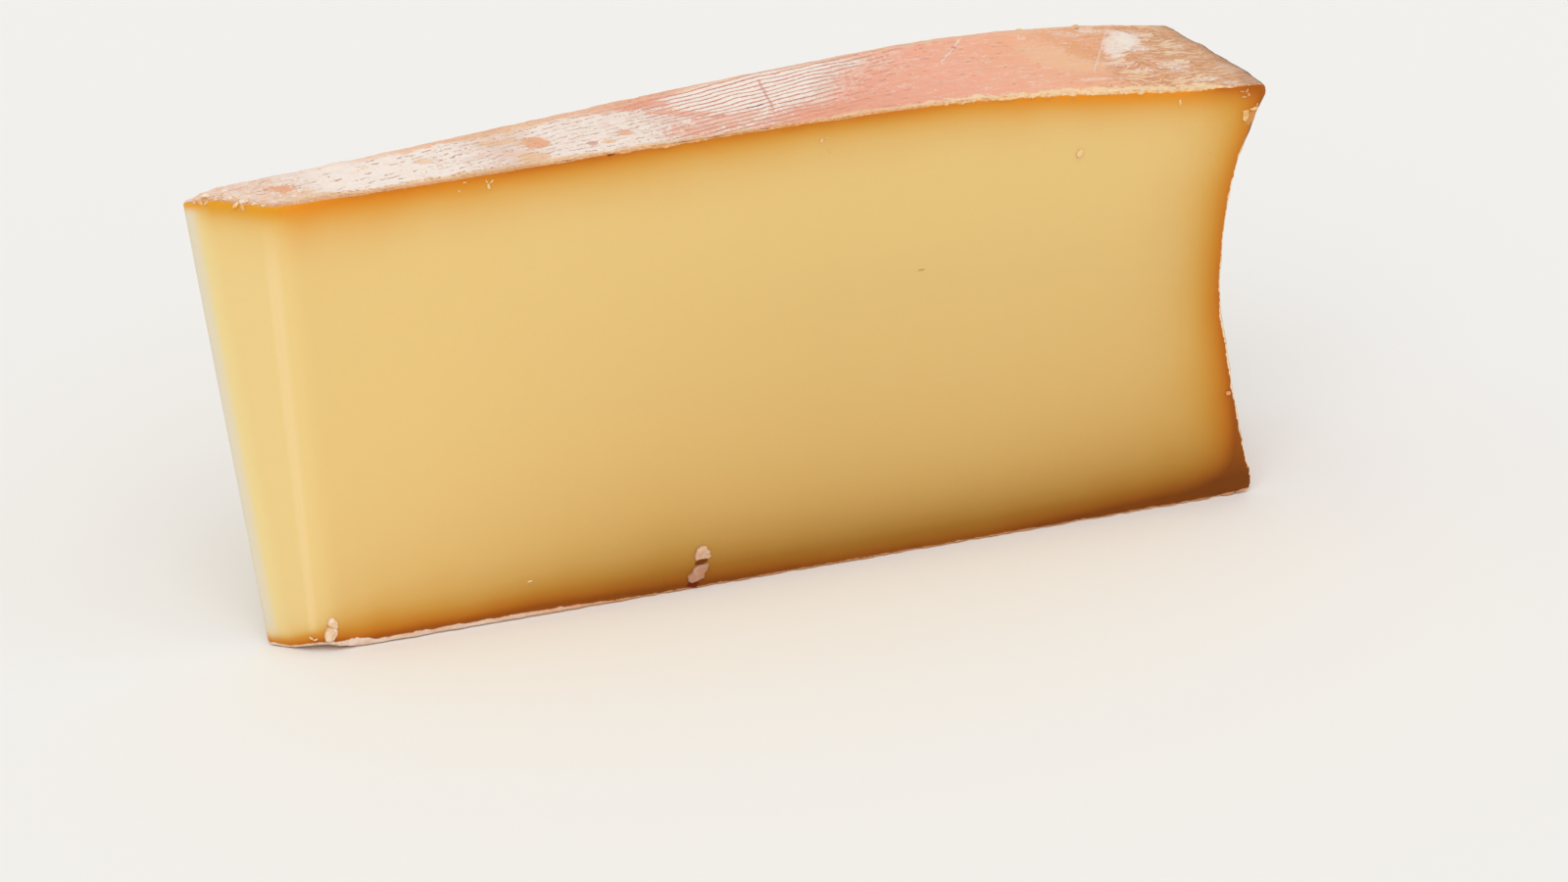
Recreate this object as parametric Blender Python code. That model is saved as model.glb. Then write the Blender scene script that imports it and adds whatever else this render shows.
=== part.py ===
"""A cut piece of abondance, a semi-hard mountain cheese, standing on the flat rind of its wheel.

The piece is a slim sector of the wheel: a large cut face along the front, a second cut along the back,
a short slanting cut where the point of the sector was taken off, and at the other end the heel, the
wheel's side, hollowed by the hoop that held the cheese in the press. Rind covers top, heel and base.

Axes: +X runs from the cut nose to the heel, -Y is the side of the large cut face, +Z is up.
Origin: the bottom centre of the bounding box.  All lengths are in metres.
"""

import math

import bmesh
import bpy
from mathutils import Matrix, Vector, noise

# ---- the wheel, in a frame whose origin is the foot of the edge between the nose and the front cut ----

WHEEL_RADIUS = 0.195
CROWN_HEIGHT = 0.0783  # thickness of the wheel where it is thickest
NOSE_DIP = 0.0012  # the cut end has settled this much
NOSE_DIP_LENGTH = 0.085
FRONT_SAG = 0.0047  # fall of the upper rind to the rim: at the front cut it levels out again
BACK_SAG = 0.0067  # and at the back cut it gets steeper to the very rim
SAG_START = 0.110
NOSE_LIFT = (0.0012, 0.0070)  # the lower rind turns up at two ends: by how much, and over what length
HEEL_LIFT = (0.0022, 0.0140)

# ---- the heel ----

WAIST_X = 0.1674  # where the hollow of the heel is deepest
WAIST_HEIGHT = 0.0375
UPPER_FLARE = (0.0089, 2.5)  # how far the rim stands out past the waist, and the power of its curve:
LOWER_FLARE = (0.0077, 1.25)  # a high power keeps the flare near the rim, 1 makes it a straight slope
RIM_X = WAIST_X + UPPER_FLARE[0]
APEX_Y = 0.039  # the wheel's side reaches furthest at this distance behind the front cut

# ---- the three cuts ----

NOSE_PER_Y = -0.991  # the nose cut slants by this much for each metre behind the front cut
NOSE_PER_Z = -0.083  # and by this much for each metre of height
BACK_Y = 0.0091  # the back cut: its distance behind the front cut at the foot
BACK_PER_X = 0.1503
BACK_PER_Z = 0.0765

# ---- the block that is cut into cells, rounded, and then bent to those surfaces ----

BLOCK = Vector((0.180, 0.026, 0.078))
MARGIN = Vector((0.006, 0.003, 0.006))  # next to its sides the block is only moved, not stretched
CELLS = (60, 8, 17)
NOSE_ARRIS = (0.0021, 3)  # roundings: the offset from the arris, and the number of segments
BACK_ARRIS = (0.0022, 3)
UPPER_RIM_ARRIS = (0.0026, 4)
LOWER_RIM_ARRIS = (0.0018, 3)
TORN_ARRIS = (0.0006, 1)

# ---- relief ----

RIND_SWELL = (0.00040, 0.022)  # depth and size of the slow swells of the rind
RIND_CRAG = (0.00035, 0.0060)
ARRIS_CRAG = (0.00055, 0.0045)  # the torn edges between rind and paste
CUT_WAVE = (0.00012, 0.045)  # what the cheese wire leaves in a cut face
FLAT_FOOT = 0.0004  # below this height the base stays flat

# ---- scraps of rind on the front cut: centre X and Z, width, height, thickness, turn in degrees ----

SCRAPS = (
    (0.0017, 0.0054, 0.0013, 0.0018, 0.0012, 8),
    (0.0012, 0.0033, 0.0015, 0.0026, 0.0014, 18),
    (0.0670, 0.0062, 0.0025, 0.0024, 0.0012, 5),
    (0.0658, 0.0027, 0.0023, 0.0031, 0.0013, 32),
    (0.1672, 0.0724, 0.0015, 0.0014, 0.0010, 20),
    (0.1676, 0.0686, 0.0016, 0.0022, 0.0008, 5),
)
SCRAP_SINK = 0.35  # share of a scrap's thickness that is pressed into the paste
SCRAP_WANDER = 0.35

PASTE = ((0.78, 0.53, 0.20, 1.0), 0.45)  # colour and roughness
RIND = ((0.80, 0.45, 0.29, 1.0), 0.80)
PASTE_SLOT, RIND_SLOT = 0, 1
SHARP_ANGLE = 35  # degrees


def ease(value):
    """A smooth step from 0 to 1 as the value goes from 0 to 1."""
    value = min(max(value, 0.0), 1.0)
    return value * value * (3 - 2 * value)


def back_y(x, z):
    """Y of the back cut, a plane that leans out towards the top."""
    return BACK_Y + BACK_PER_X * x + BACK_PER_Z * z


def nose_x(y, z):
    """X of the nose cut, a slanting plane."""
    return NOSE_PER_Y * y + NOSE_PER_Z * z


def top_z(x, y):
    """Height of the upper rind: nearly flat, then falling to the rim, more so behind."""
    dip = NOSE_DIP * (1 - ease(x / NOSE_DIP_LENGTH))
    share = max(x - SAG_START, 0.0) / (RIM_X - SAG_START)
    behind = y / back_y(x, CROWN_HEIGHT)
    return CROWN_HEIGHT - dip - (1 - behind) * FRONT_SAG * ease(share) - behind * BACK_SAG * share**2


def foot_z(x, y):
    """Height of the lower rind: flat, and turned up a little at the nose's front corner and at the heel."""
    nose_lift, nose_length = NOSE_LIFT
    heel_lift, heel_length = HEEL_LIFT
    corner = ease(1 - math.hypot(x, y) / nose_length)
    heel_end = max(1 - (RIM_X - x) / heel_length, 0)
    return nose_lift * corner + heel_lift * heel_end**2


def heel_x(y, z):
    """X of the heel: the arc of the wheel in plan, and hollow between two flared rims in profile."""
    if z > WAIST_HEIGHT:
        reach, power = UPPER_FLARE
        share = (z - WAIST_HEIGHT) / (CROWN_HEIGHT - FRONT_SAG - WAIST_HEIGHT)
    else:
        reach, power = LOWER_FLARE
        share = (WAIST_HEIGHT - z) / WAIST_HEIGHT
    arc = WHEEL_RADIUS - math.sqrt(WHEEL_RADIUS**2 - (y - APEX_Y) ** 2)
    return WAIST_X + reach * min(share, 1.0) ** power - arc


def stretched(place, axis, low, high):
    """Moves a place along one side of the block to a stretch from low to high; margins keep their size."""
    length, margin = BLOCK[axis], MARGIN[axis]
    if place <= margin:
        return low + place
    if place >= length - margin:
        return high - (length - place)
    share = (place - margin) / (length - 2 * margin)
    return low + margin + share * (high - low - 2 * margin)


def bent(place):
    """Where a point of the straight block lies in the piece."""
    x, y, z = place
    for _ in range(12):
        y = stretched(place.y, 1, 0.0, back_y(x, z))
        x = stretched(place.x, 0, nose_x(y, z), heel_x(y, z))
        z = stretched(place.z, 2, foot_z(x, y), top_z(x, y))
    return Vector((x, y, z))


def arris(bm, *sides):
    """The edges of the straight block that lie on all these sides, each given as an axis and a place."""
    def lies(vert):
        return all(abs(vert.co[axis] - place) < 1e-6 for axis, place in sides)

    return [edge for edge in bm.edges if lies(edge.verts[0]) and lies(edge.verts[1])]


def rounded(bm, edges, rounding):
    """Rounds some edges of the block."""
    offset, segments = rounding
    bmesh.ops.bevel(
        bm, geom=edges, offset=offset, affect="EDGES", segments=segments, profile=0.5, material=-1
    )


def straight_block():
    """A block with rind on top, foot and heel, its arrises rounded and its sides divided into cells."""
    bm = bmesh.new()
    bmesh.ops.create_cube(bm, size=1.0)
    bmesh.ops.translate(bm, verts=bm.verts, vec=(0.5, 0.5, 0.5))
    bmesh.ops.scale(bm, verts=bm.verts, vec=BLOCK)
    for face in bm.faces:
        is_rind = abs(face.normal.z) > 0.5 or face.normal.x > 0.5
        face.material_index = RIND_SLOT if is_rind else PASTE_SLOT
    nose, heel = (0, 0.0), (0, BLOCK.x)
    front, back = (1, 0.0), (1, BLOCK.y)
    foot, top = (2, 0.0), (2, BLOCK.z)
    rounded(bm, arris(bm, nose, front), NOSE_ARRIS)
    rounded(bm, arris(bm, nose, back), BACK_ARRIS)
    rounded(bm, arris(bm, heel, top), UPPER_RIM_ARRIS)
    rounded(bm, arris(bm, heel, foot), LOWER_RIM_ARRIS)
    torn = [edge for edge in bm.edges if len({face.material_index for face in edge.link_faces}) == 2]
    rounded(bm, torn, TORN_ARRIS)
    for axis, cells in enumerate(CELLS):
        across = Vector(int(axis == other) for other in range(3))
        for index in range(1, cells):
            bmesh.ops.bisect_plane(
                bm,
                geom=bm.verts[:] + bm.edges[:] + bm.faces[:],
                plane_co=BLOCK * index / cells,
                plane_no=across,
                dist=1e-6,
            )
    return bm


def relief(place, size):
    """Noise of a given depth and size."""
    depth, width = size
    return depth * noise.noise(place / width)


def roughen(bm):
    """Crags and swells on the rind, torn edges along the cuts, and faint waves in the cut faces."""
    bm.normal_update()
    moves = []
    for vert in bm.verts:
        slots = {face.material_index for face in vert.link_faces}
        if len(slots) == 2:
            amount = relief(vert.co, ARRIS_CRAG)
        elif RIND_SLOT in slots:
            amount = relief(vert.co, RIND_SWELL) + relief(vert.co, RIND_CRAG)
        else:
            amount = relief(vert.co, CUT_WAVE)
        moves.append(vert.normal * amount)
    for vert, move in zip(bm.verts, moves):
        if vert.co.z < FLAT_FOOT:
            move.z = 0
        vert.co += move
        vert.co.z = max(vert.co.z, 0.0)


def material(name, look):
    """A Principled material with this colour and roughness."""
    colour, roughness = look
    made = bpy.data.materials.new(name)
    made.use_nodes = True
    shader = made.node_tree.nodes["Principled BSDF"]
    shader.inputs["Base Color"].default_value = colour
    shader.inputs["Roughness"].default_value = roughness
    shader.inputs["Metallic"].default_value = 0.0
    made.diffuse_color = colour
    return made


def object_from(bm, name, collection, materials):
    """A new object with this mesh and these materials."""
    mesh = bpy.data.meshes.new(name)
    bm.to_mesh(mesh)
    bm.free()
    for each in materials:
        mesh.materials.append(each)
    made = bpy.data.objects.new(name, mesh)
    collection.objects.link(made)
    return made


def scrap(index, size, collection, materials):
    """A lump of rind with wandering corners, flattened and pressed into the front cut."""
    x, z, width, height, thickness, turn = size
    bm = bmesh.new()
    bmesh.ops.create_icosphere(bm, subdivisions=2, radius=0.5)
    for vert in bm.verts:
        vert.co *= 1 + SCRAP_WANDER * noise.noise(vert.co * 3 + Vector((5 * index, 0, 0)))
    bmesh.ops.scale(bm, verts=bm.verts, vec=(width, thickness, height))
    bmesh.ops.rotate(bm, verts=bm.verts, matrix=Matrix.Rotation(math.radians(turn), 3, "Y"))
    bmesh.ops.translate(bm, verts=bm.verts, vec=(x, thickness * (SCRAP_SINK - 0.5), z))
    for face in bm.faces:
        face.material_index = RIND_SLOT
    return object_from(bm, f"scrap_{index}", collection, materials)


def fuse(main, collection):
    """Joins all of a collection's objects to the main one, and removes them."""
    union = main.modifiers.new("scraps", "BOOLEAN")
    union.operation = "UNION"
    union.solver = "EXACT"
    union.operand_type = "COLLECTION"
    union.collection = collection
    bpy.context.view_layer.objects.active = main
    bpy.ops.object.modifier_apply(modifier=union.name)
    for each in list(collection.objects):
        bpy.data.objects.remove(each)
    bpy.data.collections.remove(collection)


def centre_on_foot(made):
    """Moves the mesh so that the origin is at the bottom centre of its bounding box."""
    corners = [Vector(corner) for corner in made.bound_box]
    low = Vector(min(corner[axis] for corner in corners) for axis in range(3))
    high = Vector(max(corner[axis] for corner in corners) for axis in range(3))
    shift = Vector(((low.x + high.x) / 2, (low.y + high.y) / 2, low.z))
    made.data.transform(Matrix.Translation(-shift))


def main():
    for each in list(bpy.data.objects):
        bpy.data.objects.remove(each)
    scene_collection = bpy.context.scene.collection
    materials = [material("paste", PASTE), material("rind", RIND)]

    bm = straight_block()
    for vert in bm.verts:
        vert.co = bent(vert.co.copy())
    roughen(bm)
    wedge = object_from(bm, "cheese_wedge", scene_collection, materials)

    scraps = bpy.data.collections.new("scraps")
    scene_collection.children.link(scraps)
    for index, size in enumerate(SCRAPS):
        scrap(index, size, scraps, materials)
    fuse(wedge, scraps)
    centre_on_foot(wedge)
    wedge.data.shade_smooth()
    wedge.data.set_sharp_from_angle(angle=math.radians(SHARP_ANGLE))


main()
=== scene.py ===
import math

import bmesh
import bpy
import numpy as np
from mathutils import Matrix, Vector, noise


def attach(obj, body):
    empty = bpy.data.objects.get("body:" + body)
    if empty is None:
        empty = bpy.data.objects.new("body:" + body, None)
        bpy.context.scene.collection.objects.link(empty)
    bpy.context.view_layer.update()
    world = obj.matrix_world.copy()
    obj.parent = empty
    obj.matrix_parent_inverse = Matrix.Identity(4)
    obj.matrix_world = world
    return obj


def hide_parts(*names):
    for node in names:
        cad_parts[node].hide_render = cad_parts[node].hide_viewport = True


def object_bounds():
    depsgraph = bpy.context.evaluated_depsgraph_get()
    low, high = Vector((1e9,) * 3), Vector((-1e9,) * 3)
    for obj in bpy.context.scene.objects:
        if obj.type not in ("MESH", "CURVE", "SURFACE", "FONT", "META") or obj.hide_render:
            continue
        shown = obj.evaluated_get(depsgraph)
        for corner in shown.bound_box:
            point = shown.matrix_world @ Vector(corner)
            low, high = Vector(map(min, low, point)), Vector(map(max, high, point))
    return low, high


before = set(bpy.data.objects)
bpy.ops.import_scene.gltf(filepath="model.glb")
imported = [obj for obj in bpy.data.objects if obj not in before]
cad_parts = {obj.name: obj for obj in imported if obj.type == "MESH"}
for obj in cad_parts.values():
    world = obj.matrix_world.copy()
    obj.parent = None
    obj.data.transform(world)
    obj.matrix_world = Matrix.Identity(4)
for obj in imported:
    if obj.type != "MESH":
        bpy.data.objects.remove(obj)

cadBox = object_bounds()
mm = 0.001


def addMesh(name, bm):
    mesh = bpy.data.meshes.new(name)
    bm.to_mesh(mesh)
    bm.free()
    return mesh


def addObject(name, data):
    made = bpy.data.objects.new(name, data)
    bpy.context.scene.collection.objects.link(made)
    return made


# the wedge's form: X and Y start at creaseFoot, the foot of the edge between the nose and the front cut
wheel = {
    "creaseFoot": (-0.07853, -0.01986, 0.0),
    "radius": 0.195,
    "crown": 0.0783,
    "noseDip": 0.0012,
    "noseDipLength": 0.085,
    "frontSag": 0.0047,
    "backSag": 0.0067,
    "sagStart": 0.110,
    # where nose and back cut meet, the rind sinks: place, reach and depth
    "tip": ((-0.0186, 0.0123), 0.0085, 0.0013),
    "noseLift": (0.0012, 0.0070),
    "heelLift": (0.0022, 0.0140),
    "waistX": 0.1674,
    "waistHeight": 0.0375,
    "upperFlare": (0.0089, 2.5),  # how far the rim stands out past the waist, and the power of its curve
    "lowerFlare": (0.0077, 1.25),
    "rimX": 0.1763,
    "apexY": 0.039,
    "heelTilt": 0.4,  # where a normal turns this far to X, the top or base becomes the heel
    "noseSlant": (-0.991, -0.083),  # X of the nose cut for each metre of Y and of Z
    "noseShare": 0.7,  # distance from the nose cut for each metre along X
    "backCut": (0.0091, 0.1503, 0.0765),  # Y of the back cut: at the foot, for each metre of X, and of Z
}


def ease(value):
    value = np.clip(value, 0, 1)
    return value * value * (3 - 2 * value)


def backY(x, z):
    start, perX, perZ = wheel["backCut"]
    return start + perX * x + perZ * z


def noseX(y, z):
    perY, perZ = wheel["noseSlant"]
    return perY * y + perZ * z


def topZ(x, y):
    dip = wheel["noseDip"] * (1 - ease(x / wheel["noseDipLength"]))
    share = np.maximum(x - wheel["sagStart"], 0) / (wheel["rimX"] - wheel["sagStart"])
    behind = y / backY(x, wheel["crown"])
    fall = (1 - behind) * wheel["frontSag"] * ease(share) + behind * wheel["backSag"] * share**2
    (tipX, tipY), reach, depth = wheel["tip"]
    fall += depth * ease(1 - np.hypot(x - tipX, y - tipY) / reach)
    return wheel["crown"] - dip - fall


def footZ(x, y):
    noseLift, noseLength = wheel["noseLift"]
    heelLift, heelLength = wheel["heelLift"]
    corner = ease(1 - np.hypot(x, y) / noseLength)
    heelEnd = np.maximum(1 - (wheel["rimX"] - x) / heelLength, 0)
    return noseLift * corner + heelLift * heelEnd**2


def heelX(y, z):
    waist = wheel["waistHeight"]
    above = np.clip((z - waist) / (wheel["crown"] - wheel["frontSag"] - waist), 0, 1)
    below = np.clip((waist - z) / waist, 0, 1)
    flare = sum(
        reach * share**power
        for (reach, power), share in ((wheel["upperFlare"], above), (wheel["lowerFlare"], below))
    )
    arc = wheel["radius"] - np.sqrt(wheel["radius"] ** 2 - (y - wheel["apexY"]) ** 2)
    return wheel["waistX"] + flare - arc


# a straight block is rounded, cut into cells and then bent to the wedge's form
block = {
    "size": Vector((0.180, 0.026, 0.078)),
    "margin": (0.006, 0.003, 0.006),  # next to its sides the block is moved, not stretched
    "cells": (344, 50, 62),
    "crowding": (0.35, 0.0, 0.78),  # how much closer the cells are at the ends of each side
    "noseArris": (0.0021, 6),  # roundings: offset and segments
    "backArris": (0.0022, 5),
    "upperRim": (0.0026, 6),
    "lowerRim": (0.0018, 5),
    "tornArris": (0.0005, 2),
    "rounds": 12,  # the sides lean on one another, so they are fitted over and over
    "touch": 1e-7,  # nearer than this, a point is on a cut
}
pasteSlot, rindSlot = 0, 1


def bend(straight):
    size, margin = block["size"], block["margin"]

    def fit(axis, low, high):
        place, edge = straight[:, axis], margin[axis]
        share = (place - edge) / (size[axis] - 2 * edge)
        inner = low + edge + share * (high - low - 2 * edge)
        inner = np.where(place < edge, low + place, inner)
        return np.where(place > size[axis] - edge, high - size[axis] + place, inner)

    x, y, z = straight.T
    for _ in range(block["rounds"]):
        y = fit(1, 0.0, backY(x, z))
        x = fit(0, noseX(y, z), heelX(y, z))
        z = fit(2, footZ(x, y), topZ(x, y))
    return np.stack([x, y, z], 1)


def roundEdges(bm, edges, rounding):
    offset, segments = rounding
    bmesh.ops.bevel(
        bm, geom=edges, offset=offset, affect="EDGES", segments=segments, profile=0.5, material=-1
    )


def edgesOn(bm, *sides):  # each side is an axis and a place on it
    def lies(vert):
        return all(abs(vert.co[axis] - place) < 1e-6 for axis, place in sides)

    return [edge for edge in bm.edges if lies(edge.verts[0]) and lies(edge.verts[1])]


def cutIntoCells(bm):
    touch = block["touch"]
    for axis in (1, 2, 0):
        length, cells, crowding = block["size"][axis], block["cells"][axis], block["crowding"][axis]
        across = Vector(int(axis == other) for other in range(3))
        rest = bm.verts[:] + bm.edges[:] + bm.faces[:]
        for index in range(1, cells):
            turn = 2 * math.pi * index / cells
            place = length * (index / cells - crowding * math.sin(turn) / (2 * math.pi))
            cut = bmesh.ops.bisect_plane(bm, geom=rest, plane_co=across * place, plane_no=across, dist=touch)
            rest = [part for part in cut["geom"] if furthest(part, axis) > place + touch]


def furthest(part, axis):
    if isinstance(part, bmesh.types.BMVert):
        return part.co[axis]
    return max(vert.co[axis] for vert in part.verts)


def makeBlock():
    size = block["size"]
    bm = bmesh.new()
    bmesh.ops.create_cube(bm, size=1.0)
    bmesh.ops.translate(bm, verts=bm.verts, vec=(0.5, 0.5, 0.5))
    bmesh.ops.scale(bm, verts=bm.verts, vec=size)
    for face in bm.faces:
        isRind = abs(face.normal.z) > 0.5 or face.normal.x > 0.5
        face.material_index = rindSlot if isRind else pasteSlot
    nose, heel, front, back = (0, 0.0), (0, size.x), (1, 0.0), (1, size.y)
    foot, top = (2, 0.0), (2, size.z)
    roundEdges(bm, edgesOn(bm, nose, front), block["noseArris"])
    roundEdges(bm, edgesOn(bm, nose, back), block["backArris"])
    roundEdges(bm, edgesOn(bm, heel, top), block["upperRim"])
    roundEdges(bm, edgesOn(bm, heel, foot), block["lowerRim"])
    torn = [edge for edge in bm.edges if len({face.material_index for face in edge.link_faces}) == 2]
    roundEdges(bm, torn, block["tornArris"])
    cutIntoCells(bm)
    return bm


# relief, in millimetres: depth and size of each kind
relief = {
    "rindSwell": (0.36, 22.0),
    "rindCrag": (0.26, 6.0),
    "rindGrain": (0.10, 1.7),
    "cutWave": (0.12, 45.0),
    "cutGrain": (0.010, 1.5),
    "arrisCrag": (0.32, 4.5),
    "arrisGrain": (0.24, 1.4),
}
# the torn arrises between rind and cut, in millimetres
tornEdge = {
    "rindSide": 0.1,  # how far the line between rind and cut lies on the side of the cut
    "reach": 0.9,
    "backShare": 0.45,  # the arrises along the back cut are smoother
    "backFade": 4,
    "lipOut": 0.24,  # the torn edge of the rind stands out from the cut
    "lipSoft": 0.3,
    "wander": 1.6,  # how far the lip's line wanders, in shares of the arris grain
    "restingUnder": 0.4,  # lower than this the base stays flat
}


def rough(points, kind):
    depth, size = relief[kind]
    return np.array([depth * noise.noise(Vector(point) / (size * mm)) for point in points])


def lipWidth(x):  # of the torn edge of the upper rind on the front cut, in millimetres
    x = x / mm
    hump = np.exp(-(((x - 62) / 7) ** 2)) * 0.25 + ease((x - 106) / 10) * 0.28
    return 0.12 + hump - 0.7 * ease((x - 159) / 6)


def crustWidth(x):  # of the lower rind's torn edge: a hump near the nose, and narrow further on
    x = x / mm
    hump = 0.6 * np.exp(-(((x - 5.9) / 1.9) ** 2))
    wide = 0.50 * ease(x / 5) * (1 - ease((x - 38) / 24))
    return 0.56 - 0.16 * ease((x - 20) / 30) + wide + hump


def readVertices(mesh, name):
    values = np.zeros(len(mesh.vertices) * 3, np.float32)
    mesh.vertices.foreach_get(name, values)
    return values.reshape(-1, 3)


def placeVertices(mesh, points):
    mesh.vertices.foreach_set("co", points.astype(np.float32).ravel())
    mesh.update()


def measure(points):  # how far each point is from each side of the wedge, in millimetres
    x, y, z = points.T
    return {
        "toTop": (topZ(x, y) - z) / mm,
        "toFoot": (z - footZ(x, y)) / mm,
        "toHeel": (heelX(y, z) - x) / mm,
        "toFront": y / mm,
        "toBack": (backY(x, z) - y) / mm,
        "toNose": wheel["noseShare"] * (x - noseX(y, z)) / mm,
    }


def measureRelief(points, gaps):  # how far each point moves outwards, and the wander of the lips' lines
    toRind = np.minimum(np.minimum(gaps["toTop"], gaps["toHeel"]), gaps["toFoot"])
    toCut = np.minimum(np.minimum(gaps["toFront"], gaps["toBack"]), gaps["toNose"])
    onRind = (toRind < tornEdge["rindSide"] + toCut).astype(float)
    arris = np.exp(-((np.maximum(toRind, toCut) / tornEdge["reach"]) ** 2))
    rind, cut = onRind * (1 - arris), (1 - onRind) * (1 - arris)
    amount = rind * (rough(points, "rindSwell") + rough(points, "rindCrag") + rough(points, "rindGrain"))
    amount += cut * (rough(points, "cutWave") + rough(points, "cutGrain"))
    atBack = ease((gaps["toFront"] - gaps["toBack"]) / tornEdge["backFade"])
    arris *= 1 - atBack * (1 - tornEdge["backShare"])
    grain = rough(points, "arrisGrain")
    amount += arris * (rough(points, "arrisCrag") + grain)
    wander = grain * tornEdge["wander"]
    lip, soft = 0.0, tornEdge["lipSoft"]
    for gap, width in (("toTop", lipWidth), ("toFoot", crustWidth)):
        lip += 1 - ease((gaps[gap] - width(points[:, 0]) - wander + soft / 2) / soft)
    amount += (1 - onRind) * lip * tornEdge["lipOut"]
    return amount, wander


def makeCheese():
    mesh = addMesh("cheese", makeBlock())
    points = bend(readVertices(mesh, "co").astype(float))
    placeVertices(mesh, points)
    normals = readVertices(mesh, "normal")
    gaps = measure(points)
    amount, wander = measureRelief(points, gaps)
    moved = points + normals * amount[:, None] * mm
    flat = points[:, 2] < tornEdge["restingUnder"] * mm
    moved[flat, 2] = points[flat, 2]
    moved += np.array(wheel["creaseFoot"])
    placeVertices(mesh, np.clip(moved, np.array(cadBox[0]), np.array(cadBox[1])))
    facts = {name: gaps[name] for name in ("toTop", "toFoot", "toHeel")}
    facts["heelShare"] = ease((normals[:, 0] - wheel["heelTilt"]) / wheel["heelTilt"])
    facts["wander"] = wander
    facts["lipWidth"] = lipWidth(points[:, 0])
    facts["crustWidth"] = crustWidth(points[:, 0])
    for name, values in facts.items():
        layer = mesh.attributes.new(name, "FLOAT", "POINT")
        layer.data.foreach_set("value", values.astype(np.float32))
    mesh.update()
    mesh.shade_smooth()
    piece = addObject("cheese", mesh)
    mesh.materials.append(pastePaint())
    mesh.materials.append(rindPaint())
    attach(piece, "root")
    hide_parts("cheese_wedge")
    print("cheese:", len(mesh.polygons), "faces")


def srgb(red, green, blue):  # 0 to 255 as seen on screen, to the linear values that shaders take
    def linear(value):
        value /= 255
        return value / 12.92 if value <= 0.04045 else ((value + 0.055) / 1.055) ** 2.4

    return linear(red), linear(green), linear(blue), 1.0


# the stretch of the wedge, in millimetres, that the stops of a level or of the skin lie in
stretch = {"start": -20, "length": 200}


def shareOf(along):
    return (along - stretch["start"]) / stretch["length"]


class Wire:  # the output of a node: arithmetic on it adds Math nodes
    def __init__(self, paint, socket):
        self.paint = paint
        self.socket = socket

    def __add__(self, other):
        return self.paint.maths("ADD", self, other)

    def __sub__(self, other):
        return self.paint.maths("SUBTRACT", self, other)

    def __mul__(self, other):
        return self.paint.maths("MULTIPLY", self, other)

    def __truediv__(self, other):
        return self.paint.maths("DIVIDE", self, other)

    def __rsub__(self, other):
        return self.paint.maths("SUBTRACT", other, self)

    def __rtruediv__(self, other):
        return self.paint.maths("DIVIDE", other, self)

    def __neg__(self):
        return self * -1

    __radd__ = __add__
    __rmul__ = __mul__


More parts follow.
